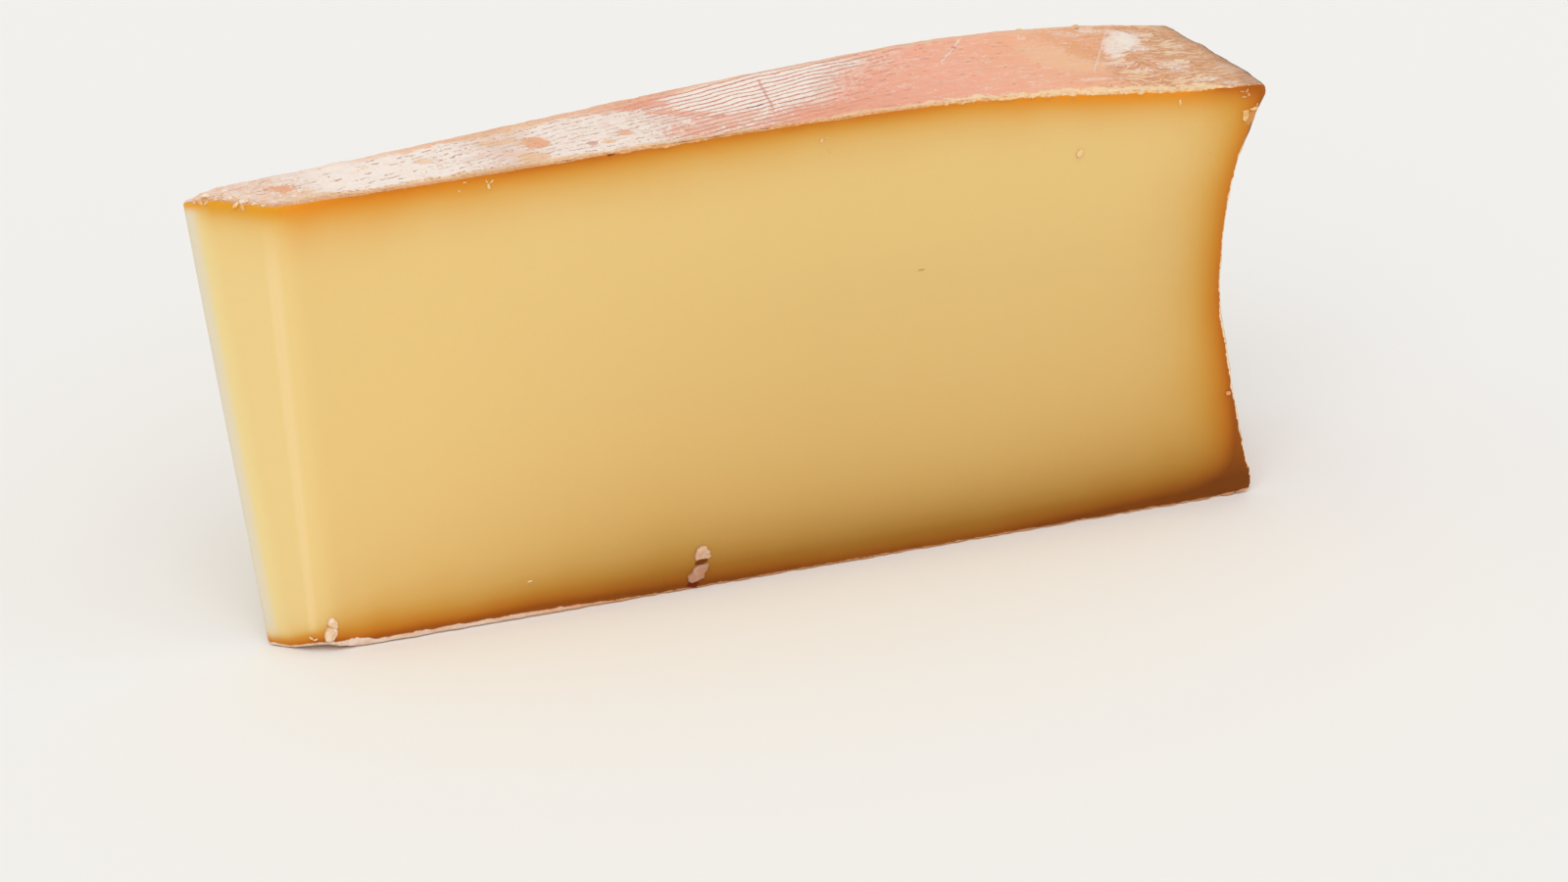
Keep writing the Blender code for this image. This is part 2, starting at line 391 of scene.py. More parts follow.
class Paint:  # a material, and what is used to build it
    def __init__(self, name):
        self.material = bpy.data.materials.new(name)
        self.material.use_nodes = True
        self.tree = self.material.node_tree
        self.shader = self.tree.nodes["Principled BSDF"]

    def node(self, kind, settings=None, sockets=None, output=0):
        made = self.tree.nodes.new(kind)
        for name, value in (settings or {}).items():
            if name == "stops":
                self.setStops(made.color_ramp, value)
            else:
                setattr(made, name, value)
        for name, value in (sockets or {}).items():
            self.join(made.inputs[name], value)
        return Wire(self, made.outputs[output])

    def join(self, socket, value):
        if isinstance(value, Wire):
            self.tree.links.new(value.socket, socket)
        else:
            socket.default_value = value

    def setStops(self, ramp, stops):
        while len(ramp.elements) < len(stops):
            ramp.elements.new(1.0)
        for element, (place, colour) in zip(ramp.elements, stops):
            element.position = place
            element.color = colour

    def maths(self, operation, first, second=0.0):
        return self.node("ShaderNodeMath", {"operation": operation}, {0: first, 1: second})

    def exp(self, value):
        return self.maths("EXPONENT", value)

    def size(self, value):
        return self.maths("ABSOLUTE", value)

    def smallest(self, first, second):
        return self.maths("MINIMUM", first, second)

    def largest(self, first, second):
        return self.maths("MAXIMUM", first, second)

    def step(self, value, low, high):  # 0 below low, 1 above high, and smooth between
        ends = {"Value": value, "From Min": low, "From Max": high}
        return self.node("ShaderNodeMapRange", {"interpolation_type": "SMOOTHSTEP"}, ends)

    def within(self, value, low, high, soft):  # 1 from low to high, with soft ends
        return self.step(value, low - soft, low + soft) * (1 - self.step(value, high - soft, high + soft))

    def ramp(self, value, stops):
        return self.node("ShaderNodeValToRGB", {"stops": stops}, {"Fac": value})

    def level(self, value, stops):  # a number that changes with the value, as its stops say
        greys = [(shareOf(place), (number, number, number, 1.0)) for place, number in stops]
        return self.ramp(shareOf(value), greys)

    def mix(self, factor, first, second):
        sockets = {0: factor, 6: first, 7: second}
        return self.node("ShaderNodeMix", {"data_type": "RGBA"}, sockets, 2)

    def attribute(self, name):
        return self.node("ShaderNodeAttribute", {"attribute_name": name}, None, 2)

    def place(self):  # the point's place in millimetres from creaseFoot
        coordinates = self.node("ShaderNodeTexCoord", None, None, 3)
        shift = [-value / mm for value in wheel["creaseFoot"]]
        scale = (1 / mm, 1 / mm, 1 / mm)
        sockets = {"Vector": coordinates, "Location": shift, "Scale": scale}
        return self.node("ShaderNodeMapping", None, sockets)

    def split(self, vector):
        made = self.tree.nodes.new("ShaderNodeSeparateXYZ")
        self.tree.links.new(vector.socket, made.inputs[0])
        return [Wire(self, output) for output in made.outputs]

    def join3(self, x, y, z):
        return self.node("ShaderNodeCombineXYZ", None, {"X": x, "Y": y, "Z": z})

    def noise(self, place, size, detail=2.0, roughness=0.5):  # 0 to 1, mostly near 0.5
        sockets = {"Vector": place, "Scale": 1 / size, "Detail": detail, "Roughness": roughness}
        return self.node("ShaderNodeTexNoise", {"noise_dimensions": "3D"}, sockets)

    def spots(self, place, size):  # distance from the nearest of many scattered points, in their sizes
        return self.node("ShaderNodeTexVoronoi", {"feature": "F1"}, {"Vector": place, "Scale": 1 / size})

    def fromCuts(self, along, behind, height):  # millimetres to the back and the nose cut
        start, perX, perZ = wheel["backCut"]
        noseY, noseZ = wheel["noseSlant"]
        toBack = start / mm + along * perX + height * perZ - behind
        return toBack, (along - behind * noseY - height * noseZ) * wheel["noseShare"]

    def hold(self, constants):  # what is the same all over
        for name, value in constants.items():
            self.shader.inputs[name].default_value = value

    def finish(self, colour, roughness, bumps, scattering, specular):
        weight, scale, radius = scattering
        self.join(self.shader.inputs["Base Color"], colour)
        self.join(self.shader.inputs["Roughness"], roughness)
        self.hold({"Subsurface Weight": weight, "Subsurface Scale": scale, "Subsurface Radius": radius})
        self.hold({"IOR": 1.42, "Specular IOR Level": specular})
        normal = None
        for height, depth in bumps:
            sockets = {"Height": height, "Distance": depth * mm, "Strength": 1.0}
            if normal:
                sockets["Normal"] = normal
            normal = self.node("ShaderNodeBump", None, sockets)
        self.join(self.shader.inputs["Normal"], normal)
        return self.material


class Coat:  # a colour as it is laid on in layers, and what is known of each point of the surface
    def __init__(self, paint, tones, *attributes):
        self.paint, self.tones = paint, tones
        self.place = paint.place()
        self.along, self.behind, self.height = paint.split(self.place)
        self.toBack, self.toNose = paint.fromCuts(self.along, self.behind, self.height)
        for name in attributes:
            setattr(self, name, paint.attribute(name))

    def blend(self, share, *ends):  # from one tone to another, each by its name or as a colour
        return self.paint.mix(share, *(self.tones[end] if isinstance(end, str) else end for end in ends))

    def lay(self, share, tone):
        self.colour = self.blend(share, self.colour, tone)


pasteTones = {
    "ripening": (  # from the heart of the paste to its outermost skin
        (0.0, srgb(231, 199, 130)),
        (0.03, srgb(228, 191, 121)),
        (0.10, srgb(223, 179, 102)),
        (0.19, srgb(217, 164, 78)),
        (0.31, srgb(211, 145, 52)),
        (0.46, srgb(202, 122, 32)),
        (0.60, srgb(180, 98, 20)),
        (0.78, srgb(142, 70, 10)),
        (1.0, srgb(104, 45, 5)),
    ),
    # nose: a paler tone for the nose face, painted light standing in for the extra light it catches
    "nose": srgb(237, 212, 148),
    # crease: a painted highlight along the rounded crease between the nose and the front cut
    "crease": srgb(243, 214, 162),
    # the next two tones: a painted highlight and a painted reflection of the pale surroundings, along the
    # nose's edge at the back cut
    "noseSide": srgb(234, 218, 158),
    "noseEdge": srgb(222, 214, 196),
    "fresh": srgb(238, 148, 28),
    "freshNose": srgb(230, 164, 36),
    # painted shadow of the rind's torn edge on the cut, close under the top
    "under": srgb(166, 84, 12),
    "lip": srgb(222, 158, 98),
    "lipLight": srgb(240, 202, 152),
    "lipHeel": srgb(196, 118, 66),
    "crust": srgb(226, 192, 166),
    "crustLight": srgb(240, 220, 206),
    "crustRight": srgb(220, 158, 112),
    "heelLine": srgb(238, 212, 180),
    "heelRim": srgb(140, 110, 84),
    # slit: a small indentation, its darkness painted as shade
    "slit": srgb(186, 152, 80),
    "gap": srgb(124, 62, 14),
    "stain": srgb(112, 36, 14),
    "flap": srgb(206, 144, 84),
    # deep is black: mixed in, it is painted shade low down and towards the heel
    "deep": srgb(0, 0, 0),
}
# numbers that change along the paste: each stop is a place in millimetres and the number there
pasteLevels = {
    "fade": ((70, 0.37), (115, 0.5), (152, 0.5), (162, 0.37)),  # how soon the amber under the top ends
    "low": (  # amber over the foot
        (-14, 0.8), (-4, 0.85), (8, 1.0), (36, 1.0), (60, 0.7), (90, 0.5), (120, 0.5), (150, 0.85),
    ),
    "lowReach": ((-5, 1.3), (0, 1.6), (4, 2.3), (10, 2.7), (30, 2.6)),
    "haze": ((-6, 0.0), (2, 0.05), (30, 0.12), (60, 0.2), (120, 0.18), (150, 0.25)),
    "fresh": (  # bright amber close under the top
        (-18, 0.88), (-2, 0.85), (25, 0.62), (48, 0.30), (100, 0.25), (122, 0.75), (134, 1.0), (156, 0.9),
        (164, 0.1),
    ),
    "freshReach": ((-10, 3.2), (-3, 3.6), (8, 2.8), (25, 2.2)),
    "under": (  # painted shadow: the dark line right under the top, cast by the rind's torn edge
        (-3, 0.0), (7, 0.5), (14, 0.7), (24, 0.5), (36, 0.85), (48, 0.8), (56, 0.6), (66, 0.4), (76, 0.55),
        (105, 0.4), (118, 0.12), (130, 0.0), (157, 0.0), (163, 0.7),
    ),
    # the next two levels: how strongly painted shade darkens the paste, towards the heel and low over the
    # foot
    "deep": ((18, 0.0), (60, 0.05), (90, 0.09)),
    "paintedShadeLow": ((-2, 0.05), (12, 0.19), (30, 0.34), (60, 0.58), (150, 0.6), (163, 0.68)),
    "lipLight": ((20, 0.30), (110, 0.42), (125, 0.56)),
}
# grain of the paste: size in millimetres, detail and roughness
pasteGrain = {
    "swell": (16, 2),
    "gloss": (8, 2),
    "medium": (3.0, 2),
    "fine": (0.8, 3, 0.65),
    "cut": (0.9, 3, 0.6),
}
# the amber: its strengths, and how far it reaches from each side, in millimetres
ripening = {
    "top": 0.45,
    "topPastNose": 0.05,
    "most": 0.66,
    "footHold": 0.8,
    "hazeReach": 16,
    "heelReach": 4,
    "heelLowReach": 15,
    "lipShadowReach": 0.8,
}
pasteLook = {"scattering": (0.25, 0.003, (1.0, 0.55, 0.25)), "specular": 0.15}
pasteRoughness = {"cut": 0.46, "lip": 0.25, "crust": 0.3, "gloss": 0.15}
pasteBumps = {"cut": 0.02, "torn": 0.22, "edge": 0.08}  # in millimetres
# marks on the front cut: middle along and up, half sizes, lean and tone
frontMarks = (
    # a slit: painted shade of a small indentation
    (106.9, 49.9, 0.75, 0.16, 0.0, "slit"),
    (66.8, 4.55, 1.3, 0.55, 0.9, "gap"),
    (65.3, 0.75, 1.2, 0.55, 0.0, "stain"),
    (168.6, 68.1, 1.3, 1.3, 0.5, "flap"),
    (51.3, 77.85, 0.9, 0.3, 0.0, "gap"),
)


def pastePaint():
    paint = Paint("paste")
    at = Coat(paint, pasteTones, "toTop", "toHeel", "toFoot", "lipWidth", "crustWidth", "wander")
    at.level = {name: paint.level(at.along, stops) for name, stops in pasteLevels.items()}
    at.swell = 1 + (paint.noise(at.place, *pasteGrain["swell"]) - 0.5) * 0.5
    at.fine = paint.noise(at.place, *pasteGrain["fine"]) - 0.5
    at.medium = paint.noise(at.place, *pasteGrain["medium"]) - 0.5
    at.pastNose = paint.step(at.along - at.height * wheel["noseSlant"][1], -2, 5)

    layRipening(paint, at)
    # painted shade low down and towards the heel
    layPaintedShade(paint, at)
    lip = layLip(paint, at)
    crust = layCrust(paint, at)
    heelLine = layHeelLine(paint, at)
    layMarks(paint, at)
    roughness = pasteRoughness["cut"] + lip * pasteRoughness["lip"] + crust * pasteRoughness["crust"]
    gloss = paint.noise(at.place, *pasteGrain["gloss"]) - 0.5
    roughness = roughness + gloss * pasteRoughness["gloss"]
    bumps = [
        (paint.noise(at.place, *pasteGrain["cut"]), pasteBumps["cut"]),
        (at.fine * (lip + crust), pasteBumps["torn"]),
        (lip + crust + heelLine, pasteBumps["edge"]),
    ]
    return paint.finish(at.colour, roughness, bumps, **pasteLook)


def layRipening(paint, at):  # amber towards the rind: under the top, over the foot and before the heel
    level = at.level
    amber = ripening["top"] + at.pastNose * ripening["topPastNose"]
    amber = paint.exp(-(at.toTop * at.swell * level["fade"])) * amber
    overFoot = paint.largest(at.toFoot, ripening["footHold"]) * at.swell
    amber = amber + paint.exp(-overFoot / level["lowReach"]) * level["low"]
    amber = amber + paint.exp(at.height / -ripening["hazeReach"]) * level["haze"]
    nearHeel = paint.exp(at.toHeel * at.swell / -ripening["heelReach"])
    amber = amber + nearHeel * (0.5 + paint.exp(at.height / -ripening["heelLowReach"]) * 0.5)
    amber = paint.smallest(amber, ripening["most"])
    at.colour = paint.ramp(amber, pasteTones["ripening"])
    fresh = paint.exp(-(at.toTop * at.swell) / level["freshReach"]) * level["fresh"]
    at.lay(fresh, at.blend(at.pastNose, "freshNose", "fresh"))
    # painted shadow: a dark line close under the top, where the torn edge of the rind shades the cut
    at.lay(paint.exp(at.toTop / -ripening["lipShadowReach"]) * level["under"], "under")
    layNose(paint, at, amber, fresh)


def layNose(paint, at, amber, fresh):  # painted light: the nose face painted paler, as if it caught more light; a painted highlight along the crease; a painted highlight and painted reflection along the edge at the back
    pale = (1 - at.pastNose) * (1 - paint.step(amber, 0.02, 0.3)) * (1 - fresh) * 0.55
    # painted light: the nose face is paler, as if more lit
    at.lay(pale, "nose")
    # painted highlight along the rounded crease between the nose and the front cut
    half = 0.35 + at.height * 0.004
    crease = 1 - paint.step(paint.size(at.behind - 1.25 + at.height * 0.002), half - 0.3, half + 0.25)
    crease = crease * (1 - paint.step(at.toNose, 0.35, 0.9)) * paint.step(at.toTop, 1, 16)
    at.lay(crease * (1 - paint.step(amber, 0.06, 0.3)) * 0.42, "crease")
    # painted highlight and painted reflection along the nose's thin edge at the back cut
    atTip = (1 - paint.step(at.toNose, 1.5, 4.0)) * paint.step(at.toTop, 0.2, 2.5)
    atTip = atTip * paint.step(at.toFoot, 0.5, 4)
    at.lay(atTip * (1 - paint.step(at.toBack, 2.2, 5.6)) * 0.6, "noseSide")
    at.lay(atTip * (1 - paint.step(at.toBack, 1.5, 3.4)) * 0.85, "noseEdge")


def layPaintedShade(paint, at):  # painted shade: the paste is darkened low down and towards the heel, standing in for light that falls off there
    depth = at.level["deep"] * (1 - paint.step(at.height, 42, 66) * 0.6)
    depth = depth + paint.exp(paint.largest(at.height, 3.4) / -8) * at.level["paintedShadeLow"]
    at.lay(depth, "deep")


def layLip(paint, at):  # the torn edge of the upper rind, seen from the side
    lip = 1 - paint.step(at.toTop - at.lipWidth - at.wander * 0.7 - at.fine * 0.5, -0.10, 0.12)
    light = paint.step(at.fine + at.medium * 0.6 + at.level["lipLight"], 0.30, 0.66)
    tone = at.blend(light, "lip", "lipLight")
    at.lay(lip, at.blend(paint.step(at.along, 160, 167), tone, "lipHeel"))
    return lip


def layCrust(paint, at):  # the torn edge of the lower rind
    crust = 1 - paint.step(at.toFoot - at.crustWidth - at.wander * 0.7 - at.fine * 0.4, -0.10, 0.10)
    light = paint.step(at.fine * 0.5 + at.medium, -0.2, 0.25)
    tone = at.blend(light, "crust", "crustLight")
    at.lay(crust * 0.9, at.blend(paint.step(at.along + at.medium * 30, 24, 56), tone, "crustRight"))
    return crust


def layHeelLine(paint, at):
    line = 1 - paint.step(at.toHeel - 0.36 - at.fine * 0.9 - at.medium * 0.6, -0.06, 0.1)
    line = line * paint.step(at.height + at.fine * 4, 0.5, 4)
    at.lay(line, at.blend(paint.within(at.height, 64, 80, 1.5), "heelLine", "heelRim"))
    return line


def layMarks(paint, at):
    onFront = 1 - paint.step(at.behind, 1.5, 3.5)
    for midX, midZ, halfX, halfZ, lean, tone in frontMarks:
        offX = (at.along - midX - (at.height - midZ) * lean) / halfX
        offZ = (at.height - midZ) / halfZ
        mark = 1 - paint.step(offX * offX + offZ * offZ + at.fine * 1.2, 0.55, 1.1)
        at.lay(mark * onFront, tone)


rindTones = {
    "skin": (  # under the bloom; each stop is a share of the stretch
        (0.05, srgb(232, 174, 126)),
        (0.20, srgb(226, 178, 152)),
        (0.38, srgb(230, 174, 148)),
        (0.47, srgb(236, 168, 142)),
        (0.60, srgb(236, 166, 140)),
        (0.70, srgb(242, 172, 144)),
        (0.80, srgb(242, 176, 138)),
        (0.86, srgb(230, 166, 122)),
        (0.95, srgb(216, 162, 118)),
    ),
    "bloom": srgb(248, 236, 226),
    "bloomPink": srgb(243, 216, 200),
    "dash": srgb(198, 150, 126),
    "groove": srgb(214, 130, 102),
    "mottle": srgb(218, 172, 148),
    "brownLine": srgb(190, 128, 86),
    "peach": srgb(240, 194, 152),
    "ochre": srgb(228, 160, 108),
    "orange": srgb(238, 170, 126),
    "salmon": srgb(236, 162, 134),
    "edge": srgb(212, 145, 80),
    "edgeLight": srgb(240, 198, 152),
    "edgeRight": srgb(248, 218, 170),
    "backEdge": srgb(238, 186, 154),
    "rimHalo": srgb(168, 124, 98),
    "streak": srgb(240, 214, 174),
    "rim": srgb(112, 86, 68),
    "heel": srgb(198, 142, 100),
    "heelDark": srgb(152, 98, 62),
    "speck": srgb(250, 228, 214),
    "crease": srgb(208, 128, 106),
    "brown": srgb(172, 106, 66),
    "dark": srgb(124, 84, 62),
}
# patches on the upper rind: middle along and behind in millimetres, half sizes, turn in degrees,
# raggedness, strength and tone
rindPatches = (
    (66.0, 20.6, 5.2, 2.0, -10, 1.4, 0.7, "salmon"),
    (70.0, 14.0, 5.4, 2.2, -40, 2.2, 0.7, "salmon"),
    (73.0, 7.0, 9.0, 3.4, 8, 2.4, 0.55, "salmon"),
    (91.0, 5.4, 13.0, 3.4, 10, 2.4, 0.6, "salmon"),
    (37.1, 13.8, 4.2, 1.8, 0, 2.0, 0.6, "peach"),
    (23.3, 10.4, 1.8, 1.2, 0, 2.4, 0.6, "peach"),
    (42.7, 10.9, 2.5, 3.0, 0, 0.7, 0.85, "orange"),
    (40.6, 11.4, 1.6, 1.6, 0, 1.4, 0.6, "peach"),
    (39.9, 4.6, 3.0, 2.2, 0, 1.6, 0.8, "peach"),
    (-2.0, 7.6, 3.2, 1.7, -20, 1.8, 0.85, "orange"),
    (50.9, 6.5, 0.9, 1.2, 0, 1.2, 0.6, "crease"),
    (53.6, 6.2, 1.4, 1.1, 0, 1.2, 0.7, "edgeLight"),
    (57.9, 8.9, 1.4, 1.7, 0, 1.6, 0.75, "orange"),
    (74.4, 9.9, 1.5, 1.0, 0, 1.4, 0.6, "crease"),
    (51.2, 0.7, 1.0, 0.9, 0, 0.5, 0.9, "dark"),
    (142.5, 20.0, 6.0, 8.5, 12, 1.4, 0.6, "peach"),
    (148.8, 22.8, 3.6, 5.6, 10, 2.0, 0.55, "ochre"),
    (0.0, 3.2, 5.0, 2.4, -10, 2.0, 0.6, "peach"),
)
# wisps of bloom near the rim: as the patches, all of one tone, torn along the rows of the rind
rindWisps = (
    (157.2, 27.2, 8.4, 2.6, 56, 0.8, 0.95),
    (160.6, 29.6, 4.2, 2.4, 62, 0.9, 0.9),
    (159.6, 24.6, 3.8, 1.9, 20, 1.2, 0.85),
    (152.6, 19.8, 3.0, 1.5, 40, 1.8, 0.7),
    (164.6, 33.2, 2.8, 1.6, 0, 1.9, 0.8),
    (160.4, 34.0, 2.2, 1.6, 0, 1.2, 0.85),
    (159.8, 10.4, 2.4, 1.0, 0, 2.2, 0.6),
    (155.3, 34.6, 3.0, 1.8, 8, 1.8, 0.8),
    (150.0, 33.0, 2.4, 1.8, 0, 2.2, 0.5),
    (150.8, 15.6, 3.2, 1.6, 0, 2.4, 0.8),
    (154.0, 11.4, 3.0, 1.1, 0, 2.6, 0.75),
    (160.8, 14.0, 3.4, 3.4, 30, 2.4, 0.9),
    (143.0, 6.9, 2.8, 0.9, 0, 2.0, 0.7),
    (162.2, 4.8, 2.8, 1.1, 0, 1.6, 0.9),
    (165.6, 2.8, 1.7, 1.2, 0, 1.8, 0.8),
    (167.6, 26.0, 3.0, 2.4, 10, 3.0, 0.45),
    (169.6, 11.0, 2.0, 4.0, 0, 3.2, 0.45),
)
# strokes: the two ends along and behind, half width, strength and tone
rindStrokes = (
    (88.4, 24.3, 84.2, 9.1, 0.30, 0.5, "crease"),
    (80.7, 11.8, 83.7, 12.5, 0.28, 0.8, "dark"),
    (120.5, 20.7, 130.2, 33.0, 0.28, 0.6, "speck"),
    (144.6, 11.8, 158.8, 34.4, 0.26, 0.6, "bloomPink"),
    (126.2, 27.9, 126.7, 28.6, 0.5, 0.8, "crease"),
    (153.6, 35.6, 154.6, 37.0, 0.4, 0.9, "dark"),
)
# rows pressed into the rind, aslant to the front cut
cloth = {"pitch": 1.71, "slope": 0.22, "rowShift": 5.37}
# numbers that change along the rind: each stop is a place in millimetres and the number there
rindLevels = {
    "wholeness": ((-12, 0.30), (16, 0.34), (34, 0.50), (64, 0.50), (73, 0.96), (180, 0.96)),  # of the rows
    "cover": (  # how much bloom covers the skin
        (-16, 0.42), (-5, 0.46), (2, 0.6), (8, 0.92), (14, 0.96), (27, 0.82), (37, 0.46), (45, 0.72),
        (60, 0.7), (66, 0.5), (75, 0.96),
    ),
    "mottle": (
        (-4, 0.12), (16, 0.12), (26, 0.45), (39, 0.5), (46, 0.22), (60, 0.25), (72, 0.15), (100, 0.0),
    ),
    "bare": ((8, 0.0), (20, 0.24), (36, 0.36), (56, 0.40), (66, 0.44), (78, 0.0)),  # in centimetres
    "edgeWidth": (  # in centimetres
        (-14, 0.16), (-4, 0.14), (4, 0.21), (16, 0.25), (34, 0.25), (42, 0.23), (60, 0.20), (84, 0.14),
        (108, 0.20), (160, 0.22), (168, 0.02),
    ),
    "edgeGrade": ((0, 0.1), (8, -0.4), (28, -0.35), (45, 0), (100, 0), (125, 0.3)),
    "backEdge": ((4, 0.15), (26, 0.7), (100, 0.9)),
}
# the same, but along the line where the rows end, which runs aslant
rowsEndLevels = {
    "wholeness": ((78, 1.0), (88, 0.5), (104, 0.2)),
    "cover": ((66, 1.0), (76, 0.88), (82, 0.47), (87, 0.18), (95, 0.0)),
    "pink": ((60, 0.3), (96, 0.14)),
    "line": ((78, 0.9), (92, 0.45)),
}
# grain of the rind: size in millimetres, detail and roughness
rindGrain = {
    "coarse": (9, 3, 0.6),
    "medium": (2.6, 3, 0.6),
    "fine": (0.7, 3, 0.65),
    "drawn": (1.0, 3, 0.65),
    "broken": (1.0, 3, 0.6),
    "fibre": (0.85, 3, 0.6),
}
rindLook = {"scattering": (0.12, 0.002, (1.0, 0.5, 0.3)), "specular": 0.3}
rindRoughness = {"nose": 0.82, "edge": -0.12, "rim": -0.14}
rindBumps = {"lumps": 0.18, "lines": -0.14, "bloom": 0.13, "marks": 0.08}  # in millimetres


def rindPaint():
    paint = Paint("rind")
    at = Coat(paint, rindTones, "toHeel", "heelShare")
    at.toCut = paint.smallest(paint.smallest(at.behind, at.toBack), at.toNose)
    at.onTop = paint.step(at.height, 60, 65) * (1 - at.heelShare)
    # rows along the wedge on top and base, around the wheel on the heel
    at.across = (at.behind - at.along * cloth["slope"]) * (1 - at.heelShare) + at.height * at.heelShare
    for name in ("coarse", "medium", "fine"):
        setattr(at, name, paint.noise(at.place, *rindGrain[name]))
    at.drawn = paint.noise(paint.join3(at.along / 6, at.across, at.height), *rindGrain["drawn"])
    at.ragged = at.medium * 0.5 + at.fine * 0.5 - 0.5
    at.unsteady = 1 - paint.step(at.along, 58, 74)
    at.rowsEnd = at.along + at.behind * -0.9 + (at.coarse - 0.5) * 10
    at.level = {name: paint.level(at.along, stops) for name, stops in rindLevels.items()}
    at.endLevel = {name: paint.level(at.rowsEnd, stops) for name, stops in rowsEndLevels.items()}
    at.line = clothLines(paint, at)

    bloom = layBloom(paint, at)
    layBareBand(paint, at)
    waves = layWaves(paint, at)
    # pale grains standing on the skin
    speck = (1 - paint.step(paint.spots(at.place, 1.7), 0.10, 0.24)) * paint.step(at.medium, 0.46, 0.62)
    at.lay(speck * 0.5, "speck")
    layPatches(paint, at)
    wisps = layWisps(paint, at)
    marks = layStrokes(paint, at)
    layHeel(paint, at)
    edge = layEdge(paint, at)
    roughness = rindRoughness["nose"] + edge * rindRoughness["edge"]
    roughness = roughness + paint.step(at.along, 95, 120) * rindRoughness["rim"]
    bumps = [
        (at.medium, rindBumps["lumps"]),
        (at.line, rindBumps["lines"]),
        (bloom * 0.5 + at.fine * 1.3, rindBumps["bloom"]),
        (speck + wisps * 0.5 - waves * 0.25 - marks * 0.8, rindBumps["marks"]),
    ]
    return paint.finish(at.colour, roughness, bumps, **rindLook)


def clothLines(paint, at):  # 1 in the grooves between the rows, which are broken up towards the nose
    row = at.across / cloth["pitch"] + (at.coarse - 0.5) * 0.45
    row = row + (at.fine - 0.5) * 0.3 + (at.medium - 0.5) * at.unsteady * 0.9
    number = paint.maths("FLOOR", row)
    offMiddle = paint.size(row - number - 0.5)
    length = 3.0 - paint.within(at.along, 28, 64, 6) * 1.2
    place = paint.join3(at.along / length, number * cloth["rowShift"], at.heelShare * 9)
    broken = paint.noise(place, *rindGrain["broken"])
    wholeness = at.level["wholeness"] * at.endLevel["wholeness"]
    gap = paint.step(broken, 0.66 - wholeness * 0.42, 0.74 - wholeness * 0.42)
    wide = (at.drawn - 0.5) * 0.22 + (at.fine - 0.5) * 0.18 * (1 + at.unsteady) + (1 - at.unsteady) * 0.06
    return (1 - paint.step(offMiddle, wide + 0.01, wide + 0.12)) * gap


def layBloom(paint, at):  # the skin, the bloom that covers it, and the dashes and grooves in both
    cover = at.level["cover"] * at.endLevel["cover"]
    cover = cover - (1 - paint.step(at.behind, 4, 9)) * paint.within(at.along, 66, 110, 6) * 0.35
    cover = cover - (1 - paint.step(at.toBack, 1.5, 5)) * paint.within(at.along, 62, 110, 6) * 0.2
    at.grains = at.fine * 0.50 + at.medium * 0.28 + at.drawn * 0.22
    bloom = paint.step(at.grains + cover * 0.36, 0.62, 0.76)
    faint = paint.step(at.grains + cover * 0.36, 0.50, 0.66)
    at.colour = paint.ramp(shareOf(at.along + (at.coarse - 0.5) * 14), rindTones["skin"])
    at.lay(paint.step(at.drawn, 0.42, 0.70) * at.endLevel["pink"], "bloomPink")
    at.lay(paint.step(at.medium * 0.5 + at.fine * 0.5, 0.50, 0.60) * 0.18, "salmon")
    at.lay(faint * 0.75, "bloomPink")
    at.lay(bloom * 0.9, "bloom")
    at.lay(paint.step(at.fine * 0.55 + at.medium * 0.45, 0.50, 0.58) * at.level["mottle"], "mottle")
    at.lay(at.line * at.endLevel["line"], at.blend(1 - at.unsteady, "dash", "groove"))
    return bloom


def layBareBand(paint, at):  # bare skin along the back cut
    bare = at.level["bare"] * 10
    inside = at.toBack - bare - (at.coarse - 0.5) * 5.0 - (at.medium - 0.5) * 4.0 - (at.drawn - 0.5) * 2.0
    band = (1 - paint.step(inside, -0.8, 0.8)) * at.onTop * paint.step(bare, 0.2, 1.5)
    band = band * (0.55 + paint.step(at.grains, 0.44, 0.54) * 0.25)
    at.lay(band, at.blend(paint.step(at.along, 48, 64), "peach", "salmon"))


def layWaves(paint, at):  # brown wavy lines and pale streaks towards the rim
    nearRim = paint.step(at.along + at.behind * -0.52 + (at.coarse - 0.5) * 8, 138.5, 143)
    nearRim = nearRim * (1 - at.heelShare)
    place = paint.join3(at.along / 7, at.across + (at.coarse - 0.5) * 9, at.height)
    at.fibre = paint.noise(place, *rindGrain["fibre"])
    waves = (1 - paint.step(paint.size(at.fibre - 0.52), 0.012, 0.05)) * nearRim
    at.lay(waves * 0.6, "brownLine")
    at.lay((1 - paint.step(at.fibre, 0.39, 0.47)) * nearRim * 0.7, "streak")
    return waves


def layPatches(paint, at):
    for midX, midY, halfX, halfY, turn, ragging, strength, tone in rindPatches:
        inside = patch(paint, at, (midX, midY), (halfX, halfY), turn, at.ragged * (ragging * 4))
        at.lay(inside * at.onTop * strength * (1 - at.line * 0.3), tone)


def layWisps(paint, at):
    wisps = 0.0
    thin = 0.25 + paint.step(at.fibre * 0.5 + at.fine * 0.5, 0.44, 0.56) * 0.75
    for midX, midY, halfX, halfY, turn, ragging, strength in rindWisps:
        torn = (at.fibre - 0.5) * (ragging * 3.4) + at.ragged * ragging
        inside = patch(paint, at, (midX, midY), (halfX, halfY), turn, torn) * at.onTop * strength
        inside = inside * (thin if ragging > 1 else 0.6 + thin * 0.4)
        wisps = wisps + inside
        at.lay(inside * 0.9, "bloom")
    return wisps


def layStrokes(paint, at):
    marks = 0.0
    for startX, startY, endX, endY, halfWidth, strength, tone in rindStrokes:
        inside = stroke(paint, at, (startX, startY), (endX, endY), halfWidth)
        marks = marks + inside * at.onTop
        at.lay(inside * at.onTop * strength, tone)
    return marks


